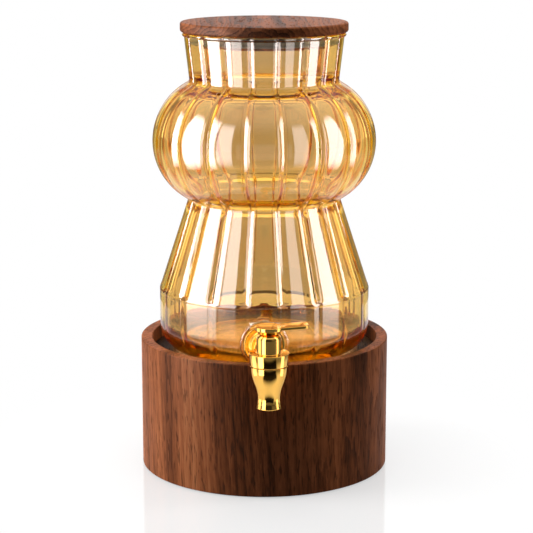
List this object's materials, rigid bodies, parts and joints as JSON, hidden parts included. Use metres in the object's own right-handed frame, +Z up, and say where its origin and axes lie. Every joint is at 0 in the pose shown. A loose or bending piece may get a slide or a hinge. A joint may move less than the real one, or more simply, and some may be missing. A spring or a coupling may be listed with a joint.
{
  "type": "glass beverage dispenser",
  "caption": "Fluted amber glass drink dispenser with a gold quarter-turn tap and a walnut lid, standing in a recess in a round walnut base.",
  "frame": {"origin": "centre of the face that rests on the table", "axes": "+Z up along the vessel's axis, -Y towards the tap, +X to the right as the tap is faced"},
  "size_m": [0.19, 0.2213, 0.3415],
  "materials": {
    "walnut": "oiled, semi-matt",
    "amber_glass": "clear, amber, polished",
    "gold": "polished gold plate",
    "steel": "stainless",
    "black_rubber": "matt",
    "silicone": "translucent, satin",
    "slip_plastic": "satin white"
  },
  "bodies": {
    "stand": {"base_ring": "walnut", "base_shelf": "walnut", "base_pad": "black_rubber"},
    "vessel": {"glass_vessel": "amber_glass", "flange_washer": "black_rubber", "tap_flange": "gold", "tap_body": "gold", "tap_nozzle": "gold", "nozzle_seal": "black_rubber", "thrust_washer": "slip_plastic", "stop_pin": "steel", "inner_washer": "silicone", "nut_washer": "steel", "shank_nut": "steel"},
    "lever": {"tap_lever": "gold", "valve_plug": "steel", "plug_o_rings": "black_rubber", "lever_screw": "steel"},
    "lid": {"lid_disc": "walnut", "lid_plug": "walnut", "lid_gasket": "silicone"}
  },
  "joints": [
    {"name": "vessel_lift", "type": "slide", "parent": "stand", "child": "vessel", "axis": [0, 0, 1], "range_m": [0, 0.15]},
    {"name": "lid_lift", "type": "slide", "parent": "vessel", "child": "lid", "axis": [0, 0, 1], "range_m": [0, 0.08]},
    {"name": "lever_turn", "type": "hinge", "parent": "vessel", "child": "lever", "pos_m": [0.0034, -0.11165, 0.133], "axis": [0, 0, -1], "range_deg": [0, 90]}
  ]
}
